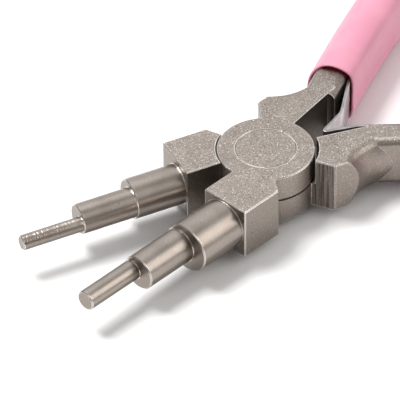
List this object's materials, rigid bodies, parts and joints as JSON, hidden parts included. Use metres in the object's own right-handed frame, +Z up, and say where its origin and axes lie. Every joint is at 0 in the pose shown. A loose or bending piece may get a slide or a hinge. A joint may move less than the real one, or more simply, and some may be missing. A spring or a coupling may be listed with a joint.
{
  "type": "round nose pliers",
  "caption": "Lap-jointed looping pliers with stepped round jaws, a V leaf spring and soft sleeve grips, for bending wire loops.",
  "frame": {"origin": "on the pivot's axis, at the flat underside of the joint", "axes": "+Z up along the pivot; the jaws point towards -X and the handles towards +X, either side of the X axis; +Y to the side of the far jaw"},
  "size_m": [0.1455, 0.0932, 0.0142],
  "materials": {
    "satin_steel": "sandblasted forged steel with a warm satin nickel plate",
    "rivet_steel": "ground flush and plated with the halves",
    "spring_steel": "plain polished strip",
    "grip_vinyl": "soft pink vinyl, satin gloss"
  },
  "bodies": {
    "far_side": {"half_far": "satin_steel", "rivet": "rivet_steel", "leaf_spring": "spring_steel", "grip_far": "grip_vinyl"},
    "near_side": {"half_near": "satin_steel", "grip_near": "grip_vinyl"}
  },
  "joints": [
    {"name": "pivot", "type": "hinge", "parent": "far_side", "child": "near_side", "pos_m": [0, 0, 0.00545], "axis": [0, 0, -1], "range_deg": [-6, 19.2], "stiffness_Nm_per_rad": 1.5, "deforming": ["leaf_spring"]}
  ]
}
